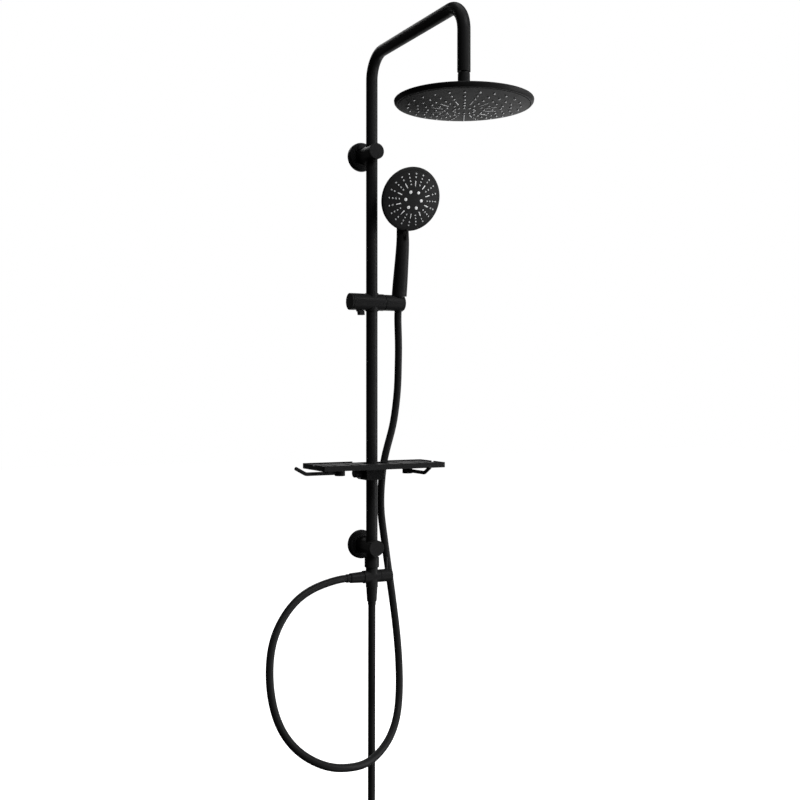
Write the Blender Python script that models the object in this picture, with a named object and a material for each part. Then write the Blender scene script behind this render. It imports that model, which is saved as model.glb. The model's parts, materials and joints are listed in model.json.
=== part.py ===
"""Rainfall shower column: a wall-mounted riser with an overhead arm, a rain head,
a sliding hand shower, a shelf with two hooks and a diverter valve.

All sizes below are in millimetres and are scaled to metres as the meshes are made.
The origin is the centre of the lower bracket's wall face. The wall is the plane Y = 0,
the room is towards -Y and +Z is up.
"""
import math

import bmesh
import bpy
import numpy as np
from mathutils import Matrix, Vector

MM = 0.001
GAP = 0.3

# Driving dimensions
TUBE_R = 12.0
TUBE_BORE = 10.8
SLIDING_BORE = 12.45
WALL_TO_RISER = 56.0
BRACKET_SPACING = 821.0
REACH = 374.0
ARM_Z = 1021.5
BEND_R = 50.0
TUBE_SEAM_Z = 640.0
DROP_END_Z = 896.0
BALL_Z = 883.0
HEAD_RIM_Z = 844.0
HEAD_R = 125.0
SLIDER_Z = 510.0
SHELF_TOP = 178.0
DIVERTER_Z = -61.0
HOSE_R = 7.75
SUPPLY_X = -1.0
SUPPLY_END_Z = -620.0
SUPPLY_START_Z = -120.3
OUTLET_HOSE_X = -58.9
HANDSET_X = 63.0
HANDSET_LEAN = math.radians(9.0)
FACE_DIP = math.radians(19.0)
FACE_SPHERE_R = 236.0
FACE_U = 215.4
FACE_V = 33.2
HANDLE_START = 15.4
HANDLE_R = 15.6
HEAD_SPHERE_R = 750.0

RISER_Y = -WALL_TO_RISER
DROP_Y = RISER_Y - REACH
X_AXIS = Vector((1, 0, 0))
Y_AXIS = Vector((0, 1, 0))
Z_AXIS = Vector((0, 0, 1))
TO_ROOM = -Y_AXIS

# The handset leans forward about the slider's cross axis. U runs up its handle and V towards the user.
HANDLE_FOOT = Vector((HANDSET_X, RISER_Y, SLIDER_Z))
HANDLE_U = Vector((0, -math.sin(HANDSET_LEAN), math.cos(HANDSET_LEAN)))
HANDLE_V = Vector((0, -math.cos(HANDSET_LEAN), -math.sin(HANDSET_LEAN)))
FACE_CENTRE = HANDLE_FOOT + HANDLE_U * FACE_U + HANDLE_V * FACE_V
FACE_BACK = Vector((0, math.cos(FACE_DIP), math.sin(FACE_DIP)))
FACE_DOWN = Vector((0, math.sin(FACE_DIP), -math.cos(FACE_DIP)))


# ---------------------------------------------------------------- helpers

def clear_scene():
    for item in list(bpy.data.objects):
        bpy.data.objects.remove(item, do_unlink=True)


def finish(name, colour, roughness, metallic):
    """A Principled material of one colour."""
    material = bpy.data.materials.new(name)
    material.use_nodes = True
    shader = material.node_tree.nodes["Principled BSDF"]
    shader.inputs["Base Color"].default_value = (*colour, 1.0)
    shader.inputs["Roughness"].default_value = roughness
    shader.inputs["Metallic"].default_value = metallic
    return material


def make_object(name, bm, material, place=None):
    """A smooth-shaded object from a bmesh in mm, put where the matrix says."""
    bmesh.ops.recalc_face_normals(bm, faces=bm.faces[:])
    bmesh.ops.scale(bm, vec=(MM, MM, MM), verts=bm.verts[:])
    mesh = bpy.data.meshes.new(name)
    bm.to_mesh(mesh)
    bm.free()
    mesh.shade_smooth()
    mesh.set_sharp_from_angle(angle=math.radians(35))
    mesh.materials.append(material)
    item = bpy.data.objects.new(name, mesh)
    bpy.context.scene.collection.objects.link(item)
    if place is not None:
        item.matrix_world = Matrix.Translation(place.translation * MM) @ place.to_3x3().to_4x4()
    return item


def turned_place(centre, axis):
    """A frame at centre whose Z runs along axis."""
    turn = Z_AXIS.rotation_difference(Vector(axis)).to_matrix().to_4x4()
    return Matrix.Translation(Vector(centre)) @ turn


def bridge(bm, lower, upper):
    """Faces between two rings of vertices. A ring of one vertex is a pole."""
    count = max(len(lower), len(upper))
    for i in range(count):
        j = (i + 1) % count
        if len(lower) == 1:
            bm.faces.new((lower[0], upper[j], upper[i]))
        elif len(upper) == 1:
            bm.faces.new((lower[i], lower[j], upper[0]))
        else:
            bm.faces.new((lower[i], lower[j], upper[j], upper[i]))


def lathe(name, outline, material, centre=(0, 0, 0), axis=(0, 0, 1), sides=20, phase=0.0):
    """Turn (radius, height) points about an axis. An outline that starts and ends on the
    axis makes a solid, and one that stays off it is closed into a ring. Phase turns the
    facets by a part of one side."""
    bm = bmesh.new()
    rings = []
    for radius, height in outline:
        if radius == 0:
            rings.append([bm.verts.new((0, 0, height))])
            continue
        angles = [math.tau * (i + phase) / sides for i in range(sides)]
        rings.append([bm.verts.new((radius * math.cos(a), radius * math.sin(a), height)) for a in angles])
    for lower, upper in zip(rings, rings[1:]):
        bridge(bm, lower, upper)
    if outline[0][0] > 0:
        bridge(bm, rings[-1], rings[0])
    return make_object(name, bm, material, turned_place(centre, axis))


def rod(name, radius, low, high, material, centre=(0, 0, 0), axis=(0, 0, 1), sides=20):
    """A plain cylinder between two heights along its axis."""
    return lathe(name, [(0, low), (radius, low), (radius, high), (0, high)], material, centre, axis, sides)


def drill(name, radius, low, high, material, centre=(0, 0, 0), axis=(0, 0, 1), sides=20):
    """A cylinder to cut with. Its facets lie half a side off those of the turned pieces."""
    outline = [(0, low), (radius, low), (radius, high), (0, high)]
    return lathe(name, outline, material, centre, axis, sides, 0.5)


def washer(name, outer, inner, low, high, material, centre=(0, 0, 0), axis=(0, 0, 1), sides=20):
    """A flat ring between two heights along its axis."""
    outline = [(inner, low), (outer, low), (outer, high), (inner, high)]
    return lathe(name, outline, material, centre, axis, sides)


def prism(name, outline, low, high, material, place=None):
    """Extrude a closed outline of (x, y) points from low to high along local Z."""
    bm = bmesh.new()
    bottom = [bm.verts.new((x, y, low)) for x, y in outline]
    top = [bm.verts.new((x, y, high)) for x, y in outline]
    bridge(bm, bottom, top)
    bm.faces.new(bottom[::-1])
    bm.faces.new(top)
    return make_object(name, bm, material, place)


def sweep(name, path, radii, side, material, bore=None, sides=20):
    """A round bar along a path that lies in the plane normal to side. With a bore it is a tube."""
    bm = bmesh.new()
    path = [Vector(point) for point in path]
    walls = [radii] if bore is None else [radii, [bore] * len(path)]
    skins = []
    for radius_list in walls:
        rings = []
        for i, point in enumerate(path):
            ahead = path[min(i + 1, len(path) - 1)] - path[max(i - 1, 0)]
            across = Vector(side).normalized()
            up = ahead.normalized().cross(across)
            ring = []
            for k in range(sides):
                angle = math.tau * k / sides
                offset = across * math.cos(angle) + up * math.sin(angle)
                ring.append(bm.verts.new(point + offset * radius_list[i]))
            rings.append(ring)
        for lower, upper in zip(rings, rings[1:]):
            bridge(bm, lower, upper)
        skins.append(rings)
    if bore is None:
        bm.faces.new(skins[0][0][::-1])
        bm.faces.new(skins[0][-1])
    else:
        bridge(bm, skins[0][0], skins[1][0])
        bridge(bm, skins[0][-1], skins[1][-1])
    return make_object(name, bm, material)


def rectangle(x_low, x_high, y_low, y_high, corner=0.0, steps=4):
    """A rectangle's outline, with round corners if a corner radius is given."""
    if corner == 0:
        return [(x_low, y_low), (x_high, y_low), (x_high, y_high), (x_low, y_high)]
    points = []
    centres = [(x_high - corner, y_high - corner), (x_low + corner, y_high - corner),
               (x_low + corner, y_low + corner), (x_high - corner, y_low + corner)]
    for quarter, (cx, cy) in enumerate(centres):
        for k in range(steps + 1):
            angle = math.pi / 2 * (quarter + k / steps)
            points.append((cx + corner * math.cos(angle), cy + corner * math.sin(angle)))
    return points


def arc_in_wall_plane(centre_y, centre_z, radius, start, end, steps):
    """Points of an arc in the plane X = 0, with angles from +Y towards +Z."""
    angles = [math.radians(start + (end - start) * k / steps) for k in range(steps + 1)]
    return [Vector((0, centre_y + radius * math.cos(a), centre_z + radius * math.sin(a))) for a in angles]


def combine(piece, operation, tool):
    """Cut a tool out of a piece or join it on, with the tool hidden and carried by the piece."""
    modifier = piece.modifiers.new(tool.name, "BOOLEAN")
    modifier.operation = operation
    modifier.solver = "EXACT"
    modifier.object = tool
    tool.hide_render = True
    tool.display_type = "WIRE"
    carry(tool, piece)


def carry(piece, parent):
    """Parent a piece without moving it."""
    bpy.context.view_layer.update()
    piece.parent = parent
    piece.matrix_parent_inverse = parent.matrix_world.inverted()


def pivot(name, centre, pieces):
    """An empty on a joint's axis that carries the moving pieces."""
    empty = bpy.data.objects.new(name, None)
    empty.location = Vector(centre) * MM
    bpy.context.scene.collection.objects.link(empty)
    for piece in pieces:
        carry(piece, empty)
    return empty


def smooth_route(points, start_direction, end_direction, spacing):
    """Points at an even spacing along the cubic spline through a route's points,
    which leaves and arrives along the given directions."""
    knots = np.array([tuple(point) for point in points], dtype=float)
    steps = np.linalg.norm(np.diff(knots, axis=0), axis=1)
    count = len(knots)
    system = np.zeros((count, count))
    known = np.zeros((count, 3))
    system[0, 0] = system[-1, -1] = 1.0
    known[0] = Vector(start_direction).normalized()
    known[-1] = Vector(end_direction).normalized()
    for i in range(1, count - 1):
        before, after = steps[i - 1], steps[i]
        system[i, i - 1:i + 2] = (after, 2 * (before + after), before)
        slope_before = (knots[i] - knots[i - 1]) / before
        slope_after = (knots[i + 1] - knots[i]) / after
        known[i] = 3 * (after * slope_before + before * slope_after)
    tangents = np.linalg.solve(system, known)
    fine = []
    samples = 24
    for i in range(count - 1):
        for k in range(samples + (i == count - 2)):
            t = k / samples
            place = (2 * t**3 - 3 * t**2 + 1) * knots[i] + (3 * t**2 - 2 * t**3) * knots[i + 1]
            lean = (t**3 - 2 * t**2 + t) * tangents[i] + (t**3 - t**2) * tangents[i + 1]
            fine.append(place + steps[i] * lean)
    fine = np.array(fine)
    travel = np.concatenate(([0], np.cumsum(np.linalg.norm(np.diff(fine, axis=0), axis=1))))
    places = np.linspace(0, travel[-1], round(travel[-1] / spacing) + 1)
    return [Vector([np.interp(s, travel, fine[:, k]) for k in range(3)]) for s in places]


def hose(name, points, radius, material):
    """A curve with a round bevel and filled ends through the points."""
    curve = bpy.data.curves.new(name, "CURVE")
    curve.dimensions = "3D"
    curve.bevel_depth = radius * MM
    curve.bevel_resolution = 3
    curve.use_fill_caps = True
    spline = curve.splines.new("POLY")
    spline.points.add(len(points) - 1)
    for spline_point, point in zip(spline.points, points):
        spline_point.co = (*(point * MM), 1.0)
    curve.materials.append(material)
    item = bpy.data.objects.new(name, curve)
    bpy.context.scene.collection.objects.link(item)
    return item


# ---------------------------------------------------------------- riser and overhead arm

def riser_and_arm(paint, brass):
    """The two tubes, the sleeve that joins them and the threaded insert in the arm's open end."""
    flare_r = 13.6
    tube = [(TUBE_BORE, -33), (flare_r, -33), (flare_r, -31), (TUBE_R, -31),
            (TUBE_R, TUBE_SEAM_Z - GAP / 2), (TUBE_BORE, TUBE_SEAM_Z - GAP / 2)]
    lathe("riser_tube", tube, paint, (0, RISER_Y, 0))
    bend_z = ARM_Z - BEND_R
    path = [Vector((0, RISER_Y, TUBE_SEAM_Z + GAP / 2))]
    path += arc_in_wall_plane(RISER_Y - BEND_R, bend_z, BEND_R, 0, 90, 5)
    path += arc_in_wall_plane(DROP_Y + BEND_R, bend_z, BEND_R, 90, 180, 5)
    path += [Vector((0, DROP_Y, DROP_END_Z))]
    sweep("overhead_arm_tube", path, [TUBE_R] * len(path), X_AXIS, paint, bore=TUBE_BORE)
    sleeve_half = 40
    washer("riser_coupling", TUBE_BORE - 0.4, 9.2, TUBE_SEAM_Z - sleeve_half, TUBE_SEAM_Z + sleeve_half,
           brass, (0, RISER_Y, 0))
    insert = [(6.4, 897), (10.4, 897), (10.4, 916), (4.5, 916), (4.5, 912), (6.4, 912)]
    lathe("arm_end_insert", insert, paint, (0, DROP_Y, 0))


# ---------------------------------------------------------------- wall brackets

def wall_bracket(prefix, height, paint, steel):
    """A plate screwed to the wall, a flange over it, a stem that grips the riser and a front cap."""
    centre = (0, 0, height)
    screw_x = 17.0
    grub_y = 20.0
    boss_r = 11.0
    plate = lathe(prefix + "_wall_plate", [(0, 0), (24, 0), (24, 5), (boss_r, 5), (boss_r, 22), (0, 22)],
                  steel, centre, TO_ROOM)
    pieces = [plate]
    for side, x in (("left", -screw_x), ("right", screw_x)):
        spot = (x, 0, height)
        hole = drill(prefix + "_screw_hole_" + side, 2.8, -1, 6, steel, spot, TO_ROOM, 12)
        combine(plate, "DIFFERENCE", hole)
        screw = [(0, 0), (2.4, 0), (2.4, 5.3), (4.2, 5.3), (3.4, 7.8), (0, 7.8)]
        pieces.append(lathe(prefix + "_wall_screw_" + side, screw, steel, spot, TO_ROOM, 12))
    flange = [(28.3, GAP), (30.25, GAP), (30.25, 9), (28, 12.5), (19.5, 16.3), (17, 16.3),
              (17, 13.8), (26.3, 10.5), (28.3, 8.5)]
    pieces.append(lathe(prefix + "_flange", flange, paint, centre, TO_ROOM, 24))
    stem_r = 16.5
    body = lathe(prefix + "_bracket_body",
                 [(0, 24), (boss_r + 0.4, 24), (boss_r + 0.4, 8.3), (stem_r, 8.3), (stem_r, 73.5),
                  (6.4, 73.5), (6.4, 70.7), (0, 70.7)], paint, centre, TO_ROOM, 24)
    riser_bore = drill(prefix + "_riser_bore", SLIDING_BORE, -20, 20, paint, (0, RISER_Y, height))
    grub_hole = drill(prefix + "_grub_hole", 2.3, -20, -8, paint, (0, -grub_y, height), sides=12)
    combine(body, "DIFFERENCE", riser_bore)
    combine(body, "DIFFERENCE", grub_hole)
    pieces.append(body)
    cap_end = 80.0
    cap = [(0, 71), (6, 71), (6, 73.8), (stem_r, 73.8), (stem_r, cap_end - 0.5), (stem_r - 0.5, cap_end),
           (0, cap_end)]
    pieces.append(lathe(prefix + "_bracket_cap", cap, paint, centre, TO_ROOM, 24))
    pieces.append(rod(prefix + "_grub_screw", 1.9, -16.2, -11.4, steel, (0, -grub_y, height), sides=12))
    return pieces


# ---------------------------------------------------------------- rain head

def rain_head(paint, rubber):
    """The ball stem, its seal and collar, and the head that hangs from them."""
    ball_centre = (0, DROP_Y, BALL_Z)
    ball_r = 8.4
    neck_r = 4.6
    neck_top = 25.9
    water_r = 2.6
    dome = [(ball_r * math.cos(math.radians(a)), ball_r * math.sin(math.radians(a)))
            for a in (-72, -50, -25, 0, 25, 45)]
    stem = [(water_r, -8.0), *dome, (neck_r, 7.2), (neck_r, 13.2), (6.0, 14.5), (6.0, neck_top),
            (water_r, neck_top)]
    lathe("ball_stem", stem, paint, ball_centre)
    washer("filter_washer", 6.1, 2.5, neck_top + GAP, neck_top + GAP + 2.4, rubber, ball_centre, sides=16)
    cup = washer("ball_seal_cup", 6.0, 3.4, -11.5, -8.8, rubber, ball_centre, sides=16)
    collar_outline = [(9.3, -16.6), (11, -16.6), (11, 9), (10.2, 10.8), (8.2, 11.5), (7.5, 11.5),
                      (6.7, 6.2), (7.3, 5.2), (8.8, 1.5), (8.9, -8.6), (9.3, -8.6)]
    collar = lathe("ball_collar", collar_outline, paint, ball_centre)
    rim = (0, DROP_Y, HEAD_RIM_Z)
    shell_outline = [(6, 26.2), (8.9, 26.2), (8.9, 22), (14, 22), (16, 17), (24, 13), (60, 9), (110, 4),
                     (124, 1.8), (HEAD_R, 0), (124.2, -4), (121.5, -7.2), (118, -8.2), (118, -1.2),
                     (110, 1.4), (60, 6.4), (24, 10.3), (6, 11.5)]
    shell = lathe("rain_head_shell", shell_outline, paint, rim, sides=36)
    face_low, sheet = -17.5, 2.5
    face = curved_disc("rain_head_face", 117.6, HEAD_SPHERE_R, face_low, sheet, paint, rim, Z_AXIS)
    mat_low = face_low + sheet + GAP
    mat = curved_disc("rain_head_nozzle_mat", 110, HEAD_SPHERE_R, mat_low, sheet, rubber, rim, Z_AXIS)
    seal = washer("rain_head_seal", 115, 112, -5.8, -3.4, rubber, rim, sides=36)
    pivot("rain_head_tilt_pivot", ball_centre, [cup])
    pivot("rain_head_sway_pivot", ball_centre, [collar])
    pivot("rain_head_spin_pivot", ball_centre, [shell, face, mat, seal])


def curved_disc(name, radius, sphere_r, low, thick, material, centre, axis, sides=36):
    """A disc of even thickness whose faces curve away from its middle, low being the middle's height."""
    radii = [0, radius / 2, radius]
    bottom = [(r, low + r * r / (2 * sphere_r)) for r in radii]
    top = [(r, height + thick) for r, height in reversed(bottom)]
    return lathe(name, bottom + top, material, centre, axis, sides)


# ---------------------------------------------------------------- slider and cradle

def slider(paint, black, steel):
    """The block that slides on the riser, with its bush, end cap, spring and brake."""
    centre = (0, RISER_Y, SLIDER_Z)
    body_r, left, right = 17.5, -47.0, 25.9
    cavity_r, cavity_end = 10.4, -19.2
    body = lathe("slider_body", [(0, cavity_end), (cavity_r, cavity_end), (cavity_r, left), (body_r, left),
                                 (body_r, right), (9.4, right), (9.4, 16), (0, 16)],
                 paint, centre, X_AXIS, 24)
    combine(body, "DIFFERENCE", drill("slider_riser_bore", 14.4, -25, 25, paint, centre))
    combine(body, "DIFFERENCE", drill("slider_nose_hole", 6.5, -21, -8, paint, centre, X_AXIS))
    slot_place = Matrix.Translation(Vector(centre))
    slot = prism("slider_slot", rectangle(-41, -24.6, -4.5, 4.5), -25, -7, paint, slot_place)
    combine(body, "DIFFERENCE", slot)
    bush = washer("slider_bush", 14.0, SLIDING_BORE, -18.8, 18.8, black, centre)
    combine(bush, "DIFFERENCE", drill("bush_nose_hole", 6.5, -21, -8, black, centre, X_AXIS))
    cap_end = left - 4.5
    cap = lathe("slider_end_cap", [(0, cap_end), (body_r - 0.5, cap_end), (body_r, cap_end + 0.5),
                                   (body_r, left - GAP), (0, left - GAP)], paint, centre, X_AXIS, 24)
    spring = washer("slider_spring", 8.0, 5.0, -46.6, -38, steel, centre, X_AXIS)
    pivot("slider_pivot", centre, [body, bush, cap, spring])

    plunger = lathe("slider_brake_plunger", [(0, -43.5), (4, -43.5), (4, -24), (9.6, -24), (9.6, -19.5),
                                             (6.1, -19.5), (6.1, -12.7), (0, -12.7)],
                    black, centre, X_AXIS)
    tab_place = Matrix.Translation(Vector(centre)) @ Matrix.Rotation(math.pi / 2, 4, "X")
    neck = [(-34, -20), (-25.4, -20), (-25, -4.4), (-37, -4.4)]
    pad = [(-30.4, -27.4), (-18.6, -27.4), (-19.4, -18), (-31.6, -18)]
    tab = prism("slider_lock_tab", neck, -4, 4, paint, tab_place)
    combine(tab, "UNION", prism("lock_tab_pad", pad, -6, 6, paint, tab_place))
    pivot("lock_tab_pivot", centre, [plunger, tab])


def cradle(paint, black):
    """The tilting holder with a conical socket that is open towards +X."""
    centre = (0, RISER_Y, SLIDER_Z)
    body_r, left, right = 16.75, 27.3, 72.2
    body = lathe("cradle", [(0, 16.4), (9, 16.4), (9, left), (body_r, left), (body_r, right - 1),
                            (body_r - 1, right), (0, right)], paint, centre, X_AXIS, 24)
    socket_top, socket_low, reach = 12.4, 10.4, 16.5
    slope = (socket_top - socket_low) / (2 * reach)
    over = 8
    socket = lathe("cradle_socket", [(0, -reach - over), (socket_low - slope * over, -reach - over),
                                     (socket_top + slope * over, reach + over), (0, reach + over)],
                   paint, HANDLE_FOOT, HANDLE_U)
    combine(body, "DIFFERENCE", socket)
    mouth_half = 8.2
    lean = Matrix.Rotation(HANDSET_LEAN, 4, "X")
    mouth = prism("cradle_mouth", rectangle(2, 20, -mouth_half, mouth_half), -30, 30, paint,
                  Matrix.Translation(HANDLE_FOOT) @ lean)
    combine(body, "DIFFERENCE", mouth)
    seat = drill("cradle_seat", HANDLE_R + 0.8, HANDLE_START - GAP, 30, paint, HANDLE_FOOT, HANDLE_U)
    combine(body, "DIFFERENCE", seat)
    ring = washer("cradle_friction_ring", 16.0, 9.4, 26.2, 27.0, black, centre, X_AXIS)
    pivot("cradle_pivot", centre, [body, ring])


# ---------------------------------------------------------------- hand shower

def handset(paint, black, rubber):
    """The handle and head in one shell, its face, the water pieces inside and the hose nut."""
    nut = lathe("hose_top_nut", [(6, -16.5), (10, -16.5), (12, 15.9), (11.4, 16.5), (9.4, 16.5),
                                 (9.4, 1.5), (6, 1.5)], paint, HANDLE_FOOT, HANDLE_U)
    seal = washer("handset_washer", 9.1, 4.5, 1.8, 4.3, rubber, HANDLE_FOOT, HANDLE_U)

    sections = [(HANDLE_START, 0, HANDLE_R - 0.5), (HANDLE_START + 0.5, 0, HANDLE_R), (45, 0, 15.3),
                (80, 0, 14.4), (115, -0.6, 13.5), (135, -2.5, 12.9), (150, -5.5, 12.4),
                (165, -7.5, 12.0), (180, -6.5, 11.4), (195, 0.5, 9), (206, 6, 5)]
    path = [HANDLE_FOOT + HANDLE_U * u + HANDLE_V * v for u, v, radius in sections]
    shell = sweep("handset_shell", path, [radius for u, v, radius in sections], X_AXIS, paint)
    rim_back = 14.0
    dome_outline = [(0, rim_back), (66.3, rim_back), (65.4, 17), (60, 21.5), (45, 26.5), (25, 30), (0, 31.5)]
    dome = lathe("handset_dome", dome_outline, paint, FACE_CENTRE, FACE_BACK, 32)
    combine(shell, "UNION", dome)
    combine(shell, "DIFFERENCE", drill("handset_nut_recess", 12.5, 10, 17, paint, HANDLE_FOOT, HANDLE_U))
    inlet = rod("handset_inlet", 9.0, 4.6, 22, paint, HANDLE_FOOT, HANDLE_U)
    combine(shell, "UNION", inlet)
    cavity = lathe("handset_cavity", [(0, rim_back - 4), (62, rim_back - 4), (62, rim_back), (61, 16.5),
                                      (50, 21), (30, 25), (0, 28)], paint, FACE_CENTRE, FACE_BACK, 32)
    combine(shell, "DIFFERENCE", cavity)
    combine(shell, "DIFFERENCE", drill("handset_bore", 6, 2, 178, paint, HANDLE_FOOT, HANDLE_U, 16))

    skin = 2.5
    face = curved_disc("handset_face", 60, FACE_SPHERE_R, 0, skin, black, FACE_CENTRE, FACE_BACK, 32)
    plate = curved_disc("handset_nozzle_plate", 58, FACE_SPHERE_R, skin + GAP, 2.0, rubber, FACE_CENTRE,
                        FACE_BACK, 32)
    pivot("handset_lift_pivot", HANDLE_FOOT, [nut, seal, shell, face, plate])

    ring_outline = [(60.4, 8.2), (63, 8.6), (65.5, 10), (66.3, 11.5), (66.3, 13.7), (60.4, 13.7)]
    ring = lathe("handset_selector", ring_outline, paint, FACE_CENTRE, FACE_BACK, 32)
    tab_half = 2.5
    tab_outline = [(61.5, 8.5), (66, 4.2), (83.5, 3.6), (85, 5.4), (83.5, 7.2), (68, 7.4), (65, 12),
                   (61.5, 12)]
    tab_turn = Matrix((FACE_DOWN, FACE_BACK, FACE_DOWN.cross(FACE_BACK))).transposed().to_4x4()
    tab_place = Matrix.Translation(FACE_CENTRE) @ tab_turn
    tab = prism("selector_tab", tab_outline, -tab_half, tab_half, paint, tab_place)
    combine(ring, "UNION", tab)
    disc = rod("handset_spray_disc", 57, 12.4, 14.6, black, FACE_CENTRE, FACE_BACK, 32)
    pivot("spray_select_pivot", FACE_CENTRE, [ring, disc])


# ---------------------------------------------------------------- shelf

def shelf(paint):
    """The tray, the clamp that holds it on the riser, the clamp's knob and two swivelling hooks."""
    left, right = -146.0, 128.0
    front, back = RISER_Y - 85, RISER_Y + 24
    skirt, lip, floor, wall = 10.7, 2.2, 2.5, 2.5
    floor_top = SHELF_TOP - lip
    floor_low = floor_top - floor
    tray_outline = rectangle(left, right, front, back, 3.0)
    tray = prism("shelf_tray", tray_outline, SHELF_TOP - skirt, SHELF_TOP, paint)
    inside = rectangle(left + wall, right - wall, front + wall, back - wall, 1.5)
    combine(tray, "DIFFERENCE", prism("tray_top_pocket", inside, floor_top, SHELF_TOP + 5, paint))
    combine(tray, "DIFFERENCE", prism("tray_under_pocket", inside, SHELF_TOP - skirt - 5, floor_low, paint))
    hole = rectangle(-28, 28, RISER_Y - 28, RISER_Y + 16, 4)
    combine(tray, "DIFFERENCE", prism("tray_riser_hole", hole, floor_low - 5, floor_top + 5, paint))
    gap_half = 34.4
    back_gap = rectangle(-gap_half, gap_half, back - wall - 1, back + 5)
    combine(tray, "DIFFERENCE", prism("tray_back_gap", back_gap, floor_top, SHELF_TOP + 5, paint))
    notch = rectangle(left - 5, right + 5, RISER_Y - 38, RISER_Y - 26)
    combine(tray, "DIFFERENCE", prism("tray_side_notches", notch, floor_top, SHELF_TOP + 5, paint))
    slot_half = 3.0
    for k, x in enumerate((-122, -104, -68, -50, 44, 86, 104)):
        slot = rectangle(x - slot_half, x + slot_half, RISER_Y - 62, RISER_Y - 8, slot_half - 0.1, 2)
        combine(tray, "DIFFERENCE", prism(f"tray_drain_{k}", slot, floor_low - 3, floor_top + 3, paint))

    clamp_low, clamp_z = 141.7, 155.5
    flange_top = floor_low - GAP
    block = rectangle(-24.5, 17.5, RISER_Y - 25, RISER_Y + 17, 1.5, 2)
    clamp = prism("shelf_clamp", block, clamp_low, flange_top - 1, paint)
    plate = rectangle(-38, 38, RISER_Y - 38, RISER_Y + 20, 3, 2)
    combine(clamp, "UNION", prism("clamp_plate", plate, flange_top - 2.8, flange_top, paint))
    riser_bore = drill("clamp_riser_bore", SLIDING_BORE, clamp_low - 5, floor_top, paint, (0, RISER_Y, 0))
    screw_hole = drill("clamp_screw_hole", 4.4, -30, -8, paint, (0, RISER_Y, clamp_z), X_AXIS, 16)
    combine(clamp, "DIFFERENCE", riser_bore)
    combine(clamp, "DIFFERENCE", screw_hole)
    pivot("shelf_pivot", (0, RISER_Y, SHELF_TOP), [tray, clamp])

    knob_outline = [(0, -42), (8.4, -42), (9.4, -41), (9.4, -33.6), (11, -33), (11, -26.1), (10, -25.1),
                    (4, -25.1), (4, -12.7), (0, -12.7)]
    knob = lathe("shelf_clamp_knob", knob_outline, paint, (0, RISER_Y, clamp_z), X_AXIS)
    pivot("clamp_knob_pivot", (0, RISER_Y, clamp_z), [knob])
    hook("left_hook", -86.6, -X_AXIS, floor_low - GAP, paint)
    hook("right_hook", 68.0, -Y_AXIS, floor_low - GAP, paint)


def hook(name, x, direction, top, paint):
    """A round post under the tray with a rod that turns up at its end."""
    y = RISER_Y - 30
    post_low = 153.5
    rod_r, rod_z = 3.75, SHELF_TOP - 18.5
    straight, upturn, rise = 74.4, 27.0, math.radians(29)
    foot = Vector((x, y, rod_z))
    elbow_r = 6.0
    path = [foot, foot + direction * (straight - elbow_r)]
    middle = foot + direction * (straight - elbow_r * 0.03) + Z_AXIS * elbow_r * 0.2
    path.append(middle)
    lift = direction * math.cos(rise) + Z_AXIS * math.sin(rise)
    path.append(foot + direction * straight + lift * elbow_r)
    path.append(foot + direction * straight + lift * (upturn - 1))
    path.append(foot + direction * straight + lift * upturn)
    post = rod(name, 10.5, post_low, top, paint, (x, y, 0))
    side = direction.cross(Z_AXIS)
    arm = sweep(name + "_arm", path, [rod_r] * 4 + [rod_r, rod_r - 0.8], side, paint, sides=16)
    combine(post, "UNION", arm)
    pivot(name + "_pivot", (x, y, rod_z), [post])


# ---------------------------------------------------------------- diverter and hoses

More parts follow.
